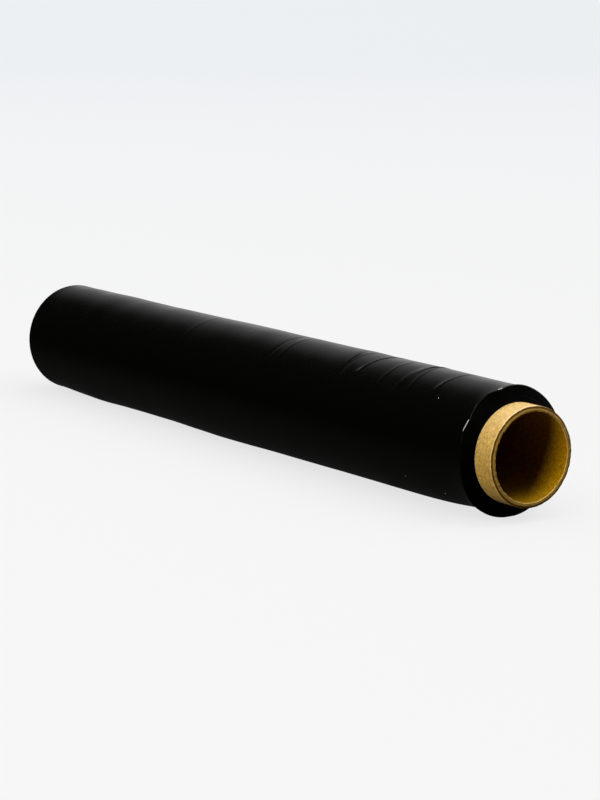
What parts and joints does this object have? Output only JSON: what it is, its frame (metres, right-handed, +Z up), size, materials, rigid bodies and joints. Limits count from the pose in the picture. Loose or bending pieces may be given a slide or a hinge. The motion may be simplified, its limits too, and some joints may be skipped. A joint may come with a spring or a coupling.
{
  "type": "stretch wrap roll",
  "caption": "Roll of black stretch wrap film wound on a cardboard core that stands out of the film at both ends, lying on its side.",
  "frame": {"origin": "middle of the roll's footprint, on the surface that it lies on", "axes": "+X along the roll's axis, towards the end where the inner turns stand proud; +Z up"},
  "size_m": [0.531, 0.0742, 0.074],
  "materials": {
    "core_board": "matte brown kraft board, spiral wound",
    "film": "glossy black polyethylene film with soft wrinkles"
  },
  "bodies": {
    "root": {"cardboard_core": "core_board", "wound_film": "film"}
  },
  "joints": []
}
